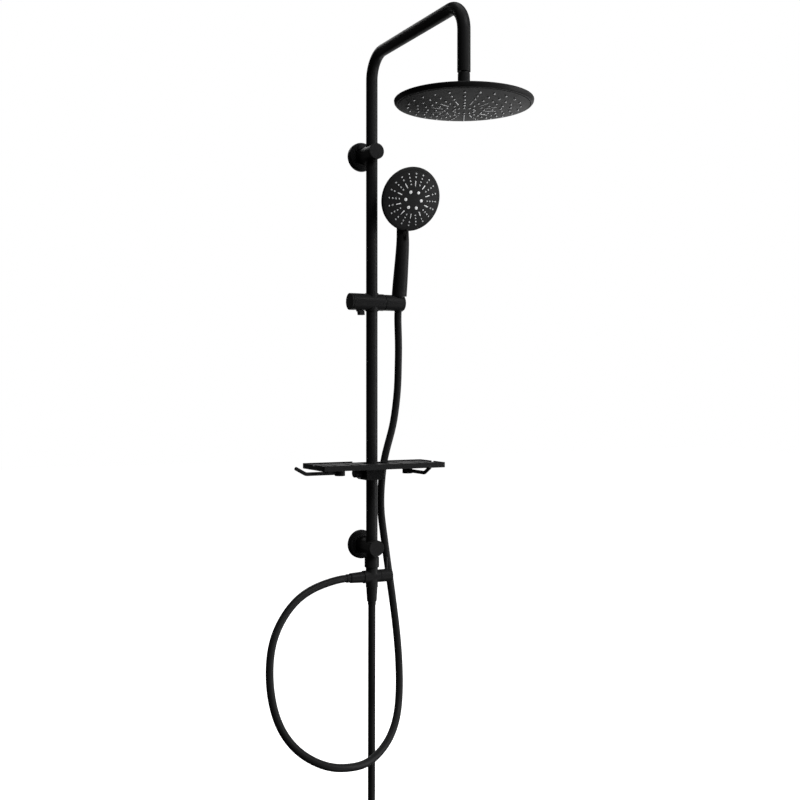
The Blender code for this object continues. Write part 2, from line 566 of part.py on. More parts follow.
def diverter(paint, brass, rubber):
    """The valve under the riser, its nuts, washers and ferrule."""
    spot = (0, RISER_Y, 0)
    cross = (0, RISER_Y, DIVERTER_Z)
    body = lathe("diverter_body", [(0, -35.6), (13.6, -35.6), (13.6, -41.9), (12.6, -41.9), (12.6, -83.2),
                                   (9.4, -83.2), (9.4, -94), (0, -94)], paint, spot)
    arm_r = 13.1
    arm = lathe("diverter_arm", [(0, -33), (9.4, -33), (9.4, -20), (arm_r, -20), (arm_r, 16.7), (0, 16.7)],
                paint, cross, X_AXIS)
    combine(body, "UNION", arm)
    combine(body, "DIFFERENCE", drill("diverter_waterway", 5.0, -99, -30, paint, spot, sides=16))
    combine(body, "DIFFERENCE", drill("diverter_outlet_way", 4.8, -38, 0.5, paint, cross, X_AXIS, 16))
    combine(body, "DIFFERENCE", drill("diverter_spindle_bore", 6.0, 0, 20, paint, cross, X_AXIS, 16))

    union_outline = [(SLIDING_BORE, -20.3), (14.4, -20.3), (15.2, -21.2), (15.2, -40.9), (14.4, -41.6),
                     (14, -41.6), (14, -30.4), (SLIDING_BORE, -30.4)]
    lathe("riser_union_nut", union_outline, paint, spot)
    washer("union_washer", 13.5, 9, -35.3, -33.3, rubber, spot)
    lathe("outlet_nut", [(9.8, -20.4), (11.6, -20.4), (10.2, -49.4), (9.6, -50), (7.4, -50), (7.4, -42),
                         (9.8, -42)], paint, cross, X_AXIS)
    washer("outlet_washer", 9.4, 4.5, -35.7, -33.3, rubber, cross, X_AXIS)
    ferrule_end = OUTLET_HOSE_X + GAP
    lathe("outlet_ferrule", [(4.5, -36), (9.4, -36), (9.4, -41.6), (7, -41.6), (7, -50.4), (8.8, -50.4),
                             (8.8, ferrule_end + 0.5), (8.3, ferrule_end), (4.5, ferrule_end)],
          paint, cross, X_AXIS)
    lathe("inlet_nut", [(9.8, -83.5), (11.8, -83.5), (10.2, -112.5), (8.6, -113), (8.6, -120), (5, -120),
                        (5, -100), (9.8, -100)], paint, spot)
    washer("inlet_washer", 9.4, 4.5, -97, -94.3, rubber, spot)

    knob_left, knob_right, knob_r = 17.0, 43.8, 13.2
    lever_x, lever_r, lever_foot = 33.6, 3.2, 9.4
    barrel = lathe("diverter_knob", [(0, 27.4), (5.9, 27.4), (5.9, knob_left), (knob_r, knob_left),
                                     (knob_r, knob_right - 1), (knob_r - 1, knob_right), (0, knob_right)],
                   paint, cross, X_AXIS)
    lever_spot = (lever_x, RISER_Y, DIVERTER_Z)
    lever_hole = drill("lever_hole", lever_r + 0.4, lever_foot - GAP, 20, paint, lever_spot, sides=16)
    combine(barrel, "DIFFERENCE", lever_hole)
    lever_top = knob_r + 25
    lever = lathe("diverter_lever", [(0, lever_foot), (lever_r, lever_foot), (lever_r, lever_top - 1),
                                     (lever_r - 1, lever_top), (0, lever_top)], paint, lever_spot, sides=16)
    spindle = rod("diverter_spindle", 5.4, 6.0, 27.0, brass, cross, X_AXIS, 16)
    pivot("diverter_pivot", cross, [barrel, lever, spindle])


SHOWER_HOSE_ROUTE = [
    (-80, -3, -62), (-115, -8, -68), (-151, -15, -79), (-175, -20, -92), (-207, -30, -120),
    (-235, -45, -161), (-251, -65, -217), (-254, -90, -272), (-246, -112, -313), (-224, -135, -349),
    (-194, -150, -372), (-159, -155, -387), (-119, -150, -395), (-82, -138, -397), (-37, -115, -386),
    (0, -88, -366), (32, -55, -331), (50, -28, -274), (57, -8, -212), (57.5, 8, -148), (55, 18, -98),
    (48, 24, -34), (41, 29, 29), (37.5, 31, 63), (37, 32.5, 98), (40, 33, 140), (45, 33, 176),
    (53, 33, 207), (65, 32.5, 249), (72.5, 32, 292), (73.8, 26, 334), (71.8, 19, 377), (69.3, 13, 419),
]


def hoses(hose_black, paint, rubber):
    """The supply hose below the valve with its nut, and the shower hose from the valve to the handset."""
    start = Vector((0, 0, SUPPLY_START_Z))
    end = Vector((SUPPLY_X, 0, SUPPLY_END_Z))
    count = 14
    points = [Vector((0, RISER_Y, 0)) + start.lerp(end, k / count) for k in range(count + 1)]
    hose("supply_hose", points, HOSE_R, hose_black)
    nut_outline = [(7, -GAP), (8.6, -GAP), (8.6, -4), (12, -5), (12, -22), (11.2, -23), (9.6, -23),
                   (9.6, -10), (7, -10)]
    lathe("supply_hose_nut", nut_outline, paint, (SUPPLY_X, RISER_Y, SUPPLY_END_Z))
    to_world = Vector((0, RISER_Y, 0))
    outlet = Vector((OUTLET_HOSE_X, RISER_Y, DIVERTER_Z))
    nut_foot = HANDLE_FOOT - HANDLE_U * (16.5 + GAP)
    approach = nut_foot - HANDLE_U * 30 + X_AXIS * 2.2
    route = [outlet, *[to_world + Vector(point) for point in SHOWER_HOSE_ROUTE], approach, nut_foot]
    spacing = 2.4 * 2 * HOSE_R
    square_end = 4.0
    line = smooth_route(route, -X_AXIS, HANDLE_U, spacing)
    line.insert(1, outlet - X_AXIS * square_end)
    line.insert(-1, nut_foot - HANDLE_U * square_end)
    hose("shower_hose", line, HOSE_R, hose_black)


# ---------------------------------------------------------------- assembly

def main():
    clear_scene()
    paint = finish("satin_black_paint", (0.022, 0.022, 0.024), 0.4, 0.6)
    black = finish("black_plastic", (0.03, 0.03, 0.032), 0.45, 0.0)
    hose_black = finish("black_hose", (0.025, 0.025, 0.026), 0.4, 0.3)
    rubber = finish("grey_silicone", (0.55, 0.56, 0.57), 0.5, 0.0)
    steel = finish("steel", (0.5, 0.5, 0.5), 0.35, 1.0)
    brass = finish("brass", (0.72, 0.55, 0.28), 0.3, 1.0)

    riser_and_arm(paint, brass)
    wall_bracket("lower", 0.0, paint, steel)
    upper = wall_bracket("upper", BRACKET_SPACING, paint, steel)
    pivot("upper_bracket_pivot", (0, RISER_Y, BRACKET_SPACING), upper)
    rain_head(paint, rubber)
    slider(paint, black, steel)
    cradle(paint, black)
    handset(paint, black, rubber)
    shelf(paint)
    diverter(paint, brass, rubber)
    hoses(hose_black, paint, rubber)


main()
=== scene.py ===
"""The finished look of the rainfall shower column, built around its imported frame.

Sizes are in millimetres and are scaled to metres as the meshes are made. Every place comes
from the frame: its boxes, its joints, and the hose route that the design lays down.
"""
import json
import math

import bmesh
import bpy
import numpy as np
from mathutils import Matrix, Vector


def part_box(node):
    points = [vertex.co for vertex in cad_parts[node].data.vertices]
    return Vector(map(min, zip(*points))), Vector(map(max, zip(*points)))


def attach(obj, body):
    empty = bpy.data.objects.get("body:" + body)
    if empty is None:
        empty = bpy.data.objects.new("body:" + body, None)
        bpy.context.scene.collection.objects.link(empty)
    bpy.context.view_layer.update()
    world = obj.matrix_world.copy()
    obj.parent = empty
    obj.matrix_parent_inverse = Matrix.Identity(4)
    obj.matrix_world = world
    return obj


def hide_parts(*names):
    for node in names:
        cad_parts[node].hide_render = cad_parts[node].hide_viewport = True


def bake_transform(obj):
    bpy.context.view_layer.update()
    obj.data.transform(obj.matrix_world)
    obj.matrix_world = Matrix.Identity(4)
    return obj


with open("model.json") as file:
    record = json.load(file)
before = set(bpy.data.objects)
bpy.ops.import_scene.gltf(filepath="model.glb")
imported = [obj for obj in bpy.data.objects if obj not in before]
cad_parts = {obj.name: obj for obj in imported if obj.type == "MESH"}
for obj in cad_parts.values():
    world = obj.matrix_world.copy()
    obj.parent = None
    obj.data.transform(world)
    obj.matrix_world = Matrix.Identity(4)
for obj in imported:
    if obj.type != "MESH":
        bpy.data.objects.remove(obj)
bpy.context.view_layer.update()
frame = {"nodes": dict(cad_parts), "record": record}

MM = 0.001
GAP = 0.3
RECORD = frame["record"]
JOINTS = {joint["name"]: joint for joint in RECORD["behaviour"]["joints"]}
NODE_BODY = {node: body for body, nodes in RECORD["behaviour"]["bodies"].items() for node in nodes}
NODE_SLOT = {part["node"]: part["material_slot"] for part in RECORD["subparts"]}
X_AXIS = Vector((1, 0, 0))
Y_AXIS = Vector((0, 1, 0))
Z_AXIS = Vector((0, 0, 1))
TO_ROOM = -Y_AXIS


def box_mm(node):
    """A node's lowest and highest corners in mm."""
    low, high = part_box(node)
    return low / MM, high / MM


def joint_mm(name):
    return Vector(JOINTS[name]["pos_m"]) / MM


def joint_axis(name):
    return Vector(JOINTS[name]["axis"]).normalized()


# Places in the frame
RISER_LOW, RISER_HIGH = box_mm("riser_tube")
RISER_Y = (RISER_LOW.y + RISER_HIGH.y) / 2
TUBE_R = 12.0
TUBE_BORE = 10.8
TUBE_SEAM_Z = RISER_HIGH.z
ARM_LOW, ARM_HIGH = box_mm("overhead_arm_tube")
ARM_Z = ARM_HIGH.z - TUBE_R
BEND_R = 50.0
DROP_Y = ARM_LOW.y + TUBE_R
BALL = joint_mm("rain_head_tilt")
RIM_Z = box_mm("rain_head_shell")[0].z + 8.2
HEAD_R = 125.0
HEAD_SPHERE_R = 750.0
SLIDER = joint_mm("cradle_tilt")
SLIDER.x = 0
HANDLE_U = joint_axis("handset_lift")
HANDLE_V = Vector((0, -HANDLE_U.z, HANDLE_U.y))
NUT_LOW, NUT_HIGH = box_mm("hose_top_nut")
HANDLE_FOOT = Vector(((NUT_LOW.x + NUT_HIGH.x) / 2, SLIDER.y, SLIDER.z))
FACE_CENTRE = joint_mm("spray_select")
FACE_FRONT = joint_axis("spray_select")
FACE_BACK = -FACE_FRONT
FACE_DOWN = Vector((0, FACE_BACK.z, -FACE_BACK.y))
FACE_SPHERE_R = 236.0
HANDLE_START = 15.4
HANDLE_R = 15.6
SHELF_LOW, SHELF_HIGH = box_mm("shelf_tray")
SHELF_TOP = SHELF_HIGH.z
DIVERTER = joint_mm("diverter_turn")
DIVERTER.x = 0
HOSE_R = 7.75
OUTLET_HOSE_X = -58.9
SUPPLY_LOW, SUPPLY_HIGH = box_mm("supply_hose")


# ---------------------------------------------------------------- camera, light and floor

def make_camera():
    """Level camera to the left of the column, looking 27.5 degrees to the right of straight on."""
    turn = math.radians(-27.5)
    distance, riser_left, eye_height = 2.315, 0.0587, 0.333
    ahead = Vector((-math.sin(turn), math.cos(turn), 0))
    right = Vector((math.cos(turn), math.sin(turn), 0))
    camera = bpy.data.objects.new("camera", bpy.data.cameras.new("camera"))
    camera.data.lens = 50.0
    camera.data.sensor_width = 36.0
    camera.data.shift_y = -0.016
    camera.location = Vector((0, RISER_Y * MM, eye_height)) - ahead * distance + right * riser_left
    camera.rotation_euler = (math.pi / 2, 0, turn)
    bpy.context.scene.collection.objects.link(camera)
    bpy.context.scene.camera = camera


def area_light(name, place, target, width, height, power):
    light = bpy.data.objects.new(name, bpy.data.lights.new(name, "AREA"))
    light.data.shape = "RECTANGLE"
    light.data.size = width
    light.data.size_y = height
    light.data.energy = power
    light.location = place
    light.rotation_euler = (Vector(target) - Vector(place)).to_track_quat("-Z", "Y").to_euler()
    bpy.context.scene.collection.objects.link(light)


def make_studio():
    """A white backdrop, soft lights that come mostly from the right, and a plain pale floor."""
    scene = bpy.context.scene
    scene.view_settings.view_transform = "Standard"
    world = bpy.data.worlds.new("studio")
    scene.world = world
    world.use_nodes = True
    nodes, links = world.node_tree.nodes, world.node_tree.links
    nodes.clear()
    seen = nodes.new("ShaderNodeBackground")
    seen.inputs["Color"].default_value = (1, 1, 1, 1)
    seen.inputs["Strength"].default_value = 1.0
    fill = nodes.new("ShaderNodeBackground")
    fill.inputs["Color"].default_value = (1, 1, 1, 1)
    fill.inputs["Strength"].default_value = 0.02
    path = nodes.new("ShaderNodeLightPath")
    mix = nodes.new("ShaderNodeMixShader")
    output = nodes.new("ShaderNodeOutputWorld")
    links.new(path.outputs["Is Camera Ray"], mix.inputs["Fac"])
    links.new(fill.outputs[0], mix.inputs[1])
    links.new(seen.outputs[0], mix.inputs[2])
    links.new(mix.outputs[0], output.inputs["Surface"])

    centre = (0.0, RISER_Y * MM, 0.3)
    area_light("right_front_softbox", (2.4, -1.6, 0.35), centre, 1.4, 2.8, 62)
    area_light("right_softbox", (2.8, 0.0, 0.35), centre, 1.4, 2.8, 9)
    area_light("right_back_softbox", (2.3, 1.7, 0.35), centre, 1.4, 2.8, 13)
    area_light("right_rim_softbox", (1.2, 2.6, 0.35), centre, 1.2, 2.8, 6)
    area_light("back_left_softbox", (-1.4, 2.7, 0.35), centre, 1.4, 2.8, 2)
    area_light("top_light", (0.2, -0.3, 3.1), centre, 1.8, 1.8, 18)
    area_light("high_front_light", (0.8, -2.6, 2.9), centre, 1.6, 1.2, 62)
    area_light("low_front_light", (1.1, -2.6, -1.9), centre, 1.6, 1.2, 15)
    area_light("low_back_light", (1.8, 1.9, -1.3), centre, 1.6, 1.0, 10)
    area_light("high_back_light", (0.3, 2.3, 2.2), centre, 1.8, 1.0, 13)

    floor = grid_plane("floor", 12.0, SUPPLY_LOW.z * MM - 0.05)
    material = bpy.data.materials.new("pale_floor")
    material.use_nodes = True
    shader = material.node_tree.nodes["Principled BSDF"]
    shader.inputs["Base Color"].default_value = (0.9, 0.9, 0.9, 1)
    shader.inputs["Roughness"].default_value = 0.9
    shader.inputs["Emission Color"].default_value = (1, 1, 1, 1)
    shader.inputs["Emission Strength"].default_value = 1.0
    floor.data.materials.append(material)
    floor.visible_diffuse = False
    floor.visible_glossy = False
    floor.visible_shadow = False


def grid_plane(name, size, height):
    bm = bmesh.new()
    bmesh.ops.create_grid(bm, x_segments=1, y_segments=1, size=size)
    mesh = bpy.data.meshes.new(name)
    bm.to_mesh(mesh)
    bm.free()
    plane = bpy.data.objects.new(name, mesh)
    plane.location.z = height
    bpy.context.scene.collection.objects.link(plane)
    return plane


# ---------------------------------------------------------------- materials

def surface(name, dark, light, roughness, grain, metallic=0.0, gleam=0.5):
    """A coated or moulded surface: a fine grain in colour and bump, and a broad mottle in gloss."""
    material = bpy.data.materials.new(name)
    material.use_nodes = True
    nodes, links = material.node_tree.nodes, material.node_tree.links
    shader = nodes["Principled BSDF"]
    shader.inputs["Metallic"].default_value = metallic
    shader.inputs["Specular IOR Level"].default_value = gleam
    place = nodes.new("ShaderNodeTexCoord")
    fine = nodes.new("ShaderNodeTexNoise")
    fine.inputs["Scale"].default_value = grain
    fine.inputs["Detail"].default_value = 3.0
    broad = nodes.new("ShaderNodeTexNoise")
    broad.inputs["Scale"].default_value = 45.0
    broad.inputs["Detail"].default_value = 2.0
    links.new(place.outputs["Object"], fine.inputs["Vector"])
    links.new(place.outputs["Object"], broad.inputs["Vector"])
    ramp = nodes.new("ShaderNodeValToRGB")
    ramp.color_ramp.elements[0].position = 0.3
    ramp.color_ramp.elements[0].color = (*dark, 1)
    ramp.color_ramp.elements[1].position = 0.7
    ramp.color_ramp.elements[1].color = (*light, 1)
    links.new(fine.outputs["Fac"], ramp.inputs["Fac"])
    links.new(ramp.outputs["Color"], shader.inputs["Base Color"])
    gloss = nodes.new("ShaderNodeMapRange")
    gloss.inputs["To Min"].default_value = roughness - 0.05
    gloss.inputs["To Max"].default_value = roughness + 0.05
    links.new(broad.outputs["Fac"], gloss.inputs["Value"])
    links.new(gloss.outputs["Result"], shader.inputs["Roughness"])
    relief = nodes.new("ShaderNodeBump")
    relief.inputs["Strength"].default_value = 0.08
    relief.inputs["Distance"].default_value = 0.00004
    links.new(fine.outputs["Fac"], relief.inputs["Height"])
    links.new(relief.outputs["Normal"], shader.inputs["Normal"])
    return material


BLACK_LOW = (0.017, 0.017, 0.0175)
BLACK_HIGH = (0.022, 0.022, 0.0225)


def make_finishes():
    """One material for each of the record's slots."""
    return {
        "satin_black_metal": surface("satin_black_metal", BLACK_LOW, BLACK_HIGH, 0.36, 1800, gleam=0.05),
        "satin_black_plastic": surface("satin_black_plastic", BLACK_LOW, BLACK_HIGH, 0.4, 2400, gleam=0.05),
        "face_black": surface("face_black", BLACK_LOW, BLACK_HIGH, 0.42, 2400, gleam=0.05),
        "black_hose": surface("black_hose", BLACK_LOW, BLACK_HIGH, 0.34, 900, gleam=0.05),
        "silicone": surface("silicone", (0.5, 0.51, 0.52), (0.62, 0.63, 0.64), 0.5, 1500),
        "seal_rubber": surface("seal_rubber", (0.02, 0.02, 0.02), (0.04, 0.04, 0.04), 0.7, 1200),
        "steel": surface("steel", (0.42, 0.42, 0.43), (0.56, 0.56, 0.56), 0.34, 3000, metallic=1.0),
        "brass": surface("brass", (0.62, 0.44, 0.2), (0.76, 0.57, 0.3), 0.3, 2600, metallic=1.0),
    }


make_camera()
make_studio()
FINISH = make_finishes()
WHITE_SILICONE = surface("white_silicone", (0.86, 0.87, 0.88), (0.94, 0.95, 0.95), 0.45, 1500)


# ---------------------------------------------------------------- modelling helpers

def new_object(name, bm, material, place=None):
    """A smooth-shaded object from a bmesh in mm, with its place baked into its mesh."""
    if place is not None:
        bmesh.ops.transform(bm, matrix=place, verts=bm.verts[:])
    bmesh.ops.recalc_face_normals(bm, faces=bm.faces[:])
    bmesh.ops.scale(bm, vec=(MM, MM, MM), verts=bm.verts[:])
    mesh = bpy.data.meshes.new(name)
    bm.to_mesh(mesh)
    bm.free()
    mesh.shade_smooth()
    mesh.materials.append(material)
    item = bpy.data.objects.new(name, mesh)
    bpy.context.scene.collection.objects.link(item)
    return item


def turned_place(centre, axis):
    turn = Z_AXIS.rotation_difference(Vector(axis)).to_matrix().to_4x4()
    return Matrix.Translation(Vector(centre)) @ turn


def bridge(bm, lower, upper):
    """Faces between two rings of vertices. A ring of one vertex is a pole."""
    count = max(len(lower), len(upper))
    for i in range(count):
        j = (i + 1) % count
        if len(lower) == 1:
            bm.faces.new((lower[0], upper[j], upper[i]))
        elif len(upper) == 1:
            bm.faces.new((lower[i], lower[j], upper[0]))
        else:
            bm.faces.new((lower[i], lower[j], upper[j], upper[i]))


def filleted(outline, radius, steps=3):
    """The outline with its sharp corners rounded. Points on the axis stay."""
    if radius == 0:
        return outline
    smooth = []
    for i, corner in enumerate(outline):
        here = Vector(corner)
        before = Vector(outline[i - 1]) - here
        after = Vector(outline[(i + 1) % len(outline)]) - here
        if corner[0] == 0 or before.angle(after) > math.radians(150):
            smooth.append(corner)
            continue
        half = before.angle(after) / 2
        reach = min(radius / math.tan(half), before.length * 0.45, after.length * 0.45)
        start = here + before.normalized() * reach
        end = here + after.normalized() * reach
        for k in range(steps + 1):
            t = k / steps
            smooth.append(tuple(start * (1 - t) ** 2 + here * 2 * t * (1 - t) + end * t * t))
    return smooth


def lathe(name, outline, material, centre=(0, 0, 0), axis=Z_AXIS, sides=72, fillet=0.5, phase=0.0):
    """Turn (radius, height) points about an axis. An outline that starts and ends on the
    axis makes a solid, and one that stays off it is closed into a ring."""
    bm = bmesh.new()
    rings = []
    for radius, height in filleted(outline, fillet):
        if radius == 0:
            rings.append([bm.verts.new((0, 0, height))])
            continue
        angles = [math.tau * (i + phase) / sides for i in range(sides)]
        rings.append([bm.verts.new((radius * math.cos(a), radius * math.sin(a), height)) for a in angles])
    for lower, upper in zip(rings, rings[1:]):
        bridge(bm, lower, upper)
    if outline[0][0] > 0:
        bridge(bm, rings[-1], rings[0])
    return new_object(name, bm, material, turned_place(centre, axis))


def rod(name, radius, low, high, material, centre=(0, 0, 0), axis=Z_AXIS, sides=72, fillet=0.5, phase=0.0):
    outline = [(0, low), (radius, low), (radius, high), (0, high)]
    return lathe(name, outline, material, centre, axis, sides, fillet, phase)


def drill(radius, low, high, centre, axis=Z_AXIS, sides=72):
    """A cylinder to cut with, its facets half a side off those of the turned pieces."""
    return rod("drill", radius, low, high, FINISH["steel"], centre, axis, sides, 0, 0.5)


def prism(name, outline, low, high, material, place=None):
    """Extrude a closed outline of (x, y) points from low to high along local Z."""
    bm = bmesh.new()
    bottom = [bm.verts.new((x, y, low)) for x, y in outline]
    top = [bm.verts.new((x, y, high)) for x, y in outline]
    bridge(bm, bottom, top)
    bm.faces.new(bottom[::-1])
    bm.faces.new(top)
    return new_object(name, bm, material, place)


def rectangle(x_low, x_high, y_low, y_high, corner=0.0, steps=8):
    if corner == 0:
        return [(x_low, y_low), (x_high, y_low), (x_high, y_high), (x_low, y_high)]
    points = []
    centres = [(x_high - corner, y_high - corner), (x_low + corner, y_high - corner),
               (x_low + corner, y_low + corner), (x_high - corner, y_low + corner)]
    for quarter, (cx, cy) in enumerate(centres):
        for k in range(steps + 1):
            angle = math.pi / 2 * (quarter + k / steps)
            points.append((cx + corner * math.cos(angle), cy + corner * math.sin(angle)))
    return points


def tube_rings(bm, path, radii, sides, first_side):
    """Rings of vertices along a path, each turned as little as possible from the one before."""
    rings = []
    across = Vector(first_side).normalized()
    for i, point in enumerate(path):
        ahead = (path[min(i + 1, len(path) - 1)] - path[max(i - 1, 0)]).normalized()
        across = (across - ahead * across.dot(ahead)).normalized()
        up = ahead.cross(across)
        ring = []
        for k in range(sides):
            angle = math.tau * k / sides
            ring.append(bm.verts.new(point + (across * math.cos(angle) + up * math.sin(angle)) * radii[i]))
        rings.append(ring)
    for lower, upper in zip(rings, rings[1:]):
        bridge(bm, lower, upper)
    return rings


def sweep(name, path, radii, material, first_side=X_AXIS, bore=None, sides=48):
    """A round bar along a path, or a tube if it has a bore."""
    bm = bmesh.new()
    skin = tube_rings(bm, path, radii, sides, first_side)
    if bore is None:
        bm.faces.new(skin[0][::-1])
        bm.faces.new(skin[-1])
    else:
        lining = tube_rings(bm, path, [bore] * len(path), sides, first_side)
        bridge(bm, skin[0], lining[0])
        bridge(bm, skin[-1], lining[-1])
    return new_object(name, bm, material)


def arc_in_wall_plane(centre_y, centre_z, radius, start, end, steps):
    angles = [math.radians(start + (end - start) * k / steps) for k in range(steps + 1)]
    return [Vector((0, centre_y + radius * math.cos(a), centre_z + radius * math.sin(a))) for a in angles]


def bake(piece):
    """Apply a piece's modifiers."""
    evaluated = piece.evaluated_get(bpy.context.evaluated_depsgraph_get())
    mesh = bpy.data.meshes.new_from_object(evaluated)
    mesh.name = piece.name
    piece.modifiers.clear()
    piece.data = mesh


def combine(piece, operation, *tools):
    """Cut tools out of a piece or join them on. The tools are used up."""
    for k, tool in enumerate(tools):
        modifier = piece.modifiers.new(f"{operation}_{k}", "BOOLEAN")
        modifier.operation = operation
        modifier.solver = "EXACT"
        modifier.object = tool
    bake(piece)
    for tool in tools:
        bpy.data.objects.remove(tool, do_unlink=True)
    return piece


def soften(piece, width, segments=3, limit=40):
    """Round the sharp edges of a piece."""
    bevel = piece.modifiers.new("bevel", "BEVEL")
    bevel.width = width * MM
    bevel.segments = segments
    bevel.limit_method = "ANGLE"
    bevel.angle_limit = math.radians(limit)
    bake(piece)
    return piece


def stand_for(piece, node):
    """The piece is the finished surface of a node and moves with its body."""
    piece.data.set_sharp_from_angle(angle=math.radians(42))
    normals = piece.modifiers.new("normals", "WEIGHTED_NORMAL")
    normals.keep_sharp = True
    bake(piece)
    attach(piece, NODE_BODY[node])
    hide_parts(node)
    return piece


def turned_node(node, outline, centre, axis=Z_AXIS, sides=72, fillet=0.5):
    """A turned piece that stands for one node."""
    piece = lathe(node + "_fine", outline, FINISH[NODE_SLOT[node]], centre, axis, sides, fillet)
    return stand_for(piece, node)


# ---------------------------------------------------------------- hoses

SHOWER_HOSE_ROUTE = [
    (-80, -3, -62), (-115, -8, -68), (-151, -15, -79), (-175, -20, -92), (-207, -30, -120),
    (-235, -45, -161), (-251, -65, -217), (-254, -90, -272), (-246, -112, -313), (-224, -135, -349),
    (-194, -150, -372), (-159, -155, -387), (-119, -150, -395), (-82, -138, -397), (-37, -115, -386),
    (0, -88, -366), (32, -55, -331), (50, -28, -274), (57, -8, -212), (57.5, 8, -148), (55, 18, -98),
    (48, 24, -34), (41, 29, 29), (37.5, 31, 63), (37, 32.5, 98), (40, 33, 140), (45, 33, 176),
    (53, 33, 207), (65, 32.5, 249), (72.5, 32, 292), (73.8, 26, 334), (71.8, 19, 377), (69.3, 13, 419),
]


def smooth_route(points, start_direction, end_direction, spacing):
    """Points at an even spacing along the cubic spline through a route's points,
    which leaves and arrives along the given directions."""
    knots = np.array([tuple(point) for point in points], dtype=float)
    steps = np.linalg.norm(np.diff(knots, axis=0), axis=1)
    count = len(knots)
    system = np.zeros((count, count))
    known = np.zeros((count, 3))
    system[0, 0] = system[-1, -1] = 1.0
    known[0] = Vector(start_direction).normalized()
    known[-1] = Vector(end_direction).normalized()
    for i in range(1, count - 1):
        before, after = steps[i - 1], steps[i]
        system[i, i - 1:i + 2] = (after, 2 * (before + after), before)
        slope_before = (knots[i] - knots[i - 1]) / before
        slope_after = (knots[i + 1] - knots[i]) / after
        known[i] = 3 * (after * slope_before + before * slope_after)
    tangents = np.linalg.solve(system, known)
    fine = []
    samples = 24
    for i in range(count - 1):
        for k in range(samples + (i == count - 2)):
            t = k / samples
            fine.append((2 * t**3 - 3 * t**2 + 1) * knots[i] + (3 * t**2 - 2 * t**3) * knots[i + 1]
                        + steps[i] * ((t**3 - 2 * t**2 + t) * tangents[i] + (t**3 - t**2) * tangents[i + 1]))
    fine = np.array(fine)
    travel = np.concatenate(([0], np.cumsum(np.linalg.norm(np.diff(fine, axis=0), axis=1))))
    places = np.linspace(0, travel[-1], round(travel[-1] / spacing) + 1)
    return [Vector([np.interp(s, travel, fine[:, k]) for k in range(3)]) for s in places]


def hose_tube(name, path):
    piece = sweep(name, path, [HOSE_R] * len(path), FINISH["black_hose"], Y_AXIS, sides=32)
    piece.data.set_sharp_from_angle(angle=math.radians(42))
    return piece


def make_shower_hose():
    """The shower hose in three stretches that share their end rings."""
    outlet = Vector((OUTLET_HOSE_X, RISER_Y, DIVERTER.z))
    nut_foot = HANDLE_FOOT - HANDLE_U * (16.5 + GAP)
    route = [outlet, *[Vector((0, RISER_Y, 0)) + Vector(point) for point in SHOWER_HOSE_ROUTE],
             nut_foot - HANDLE_U * 30 + X_AXIS * 2.2, nut_foot]
    line = smooth_route(route, -X_AXIS, HANDLE_U, 5.0)
    bend_start_z, bend_end_z, stay_z = 366, 467, 40
    last_loop = max(i for i, point in enumerate(line) if point.z < bend_start_z)
    last_bend = max(i for i, point in enumerate(line) if point.z < bend_end_z)
    main_path = line[:last_loop + 1]
    bend_path = line[last_loop:last_bend + 1]
    neck_path = line[last_bend:]
    main = hose_tube("shower_hose_main", main_path)
    bend = hose_tube("shower_hose_bend", bend_path)
    neck = hose_tube("shower_hose_neck", neck_path)
    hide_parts("shower_hose")
    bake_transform(main)
    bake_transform(bend)
    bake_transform(neck)


def make_supply_hose():
    """The straight supply hose and the nut at its foot."""
    start = Vector((0, RISER_Y, SUPPLY_HIGH.z))
    end = Vector((-1.0, RISER_Y, SUPPLY_LOW.z))
    count = 60
    path = [start.lerp(end, k / count) for k in range(count + 1)]
    tube = hose_tube("supply_hose_tube", path)
    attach(tube, "column")
    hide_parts("supply_hose")
    nut = turned_node("supply_hose_nut", [(7, -GAP), (8.6, -GAP), (8.6, -4), (12, -5), (12, -22), (11.2, -23),
                                          (9.6, -23), (9.6, -10), (7, -10)], end)


# ---------------------------------------------------------------- riser, arm and brackets

def make_tubes():
    metal = FINISH["satin_black_metal"]
    flare_r = 13.6
    outline = [(TUBE_BORE, -33), (flare_r, -33), (flare_r, -31), (TUBE_R, -31),
               (TUBE_R, TUBE_SEAM_Z), (TUBE_BORE, TUBE_SEAM_Z)]
    turned_node("riser_tube", outline, (0, RISER_Y, 0), fillet=0.15)
    bend_z = ARM_Z - BEND_R
    path = [Vector((0, RISER_Y, ARM_LOW.z))]
    path += arc_in_wall_plane(RISER_Y - BEND_R, bend_z, BEND_R, 0, 90, 24)
    path += arc_in_wall_plane(DROP_Y + BEND_R, bend_z, BEND_R, 90, 180, 24)
    path += [Vector((0, DROP_Y, BALL.z + 13))]
    arm = sweep("overhead_arm_tube_fine", path, [TUBE_R] * len(path), metal, bore=TUBE_BORE, sides=72)
    stand_for(arm, "overhead_arm_tube")


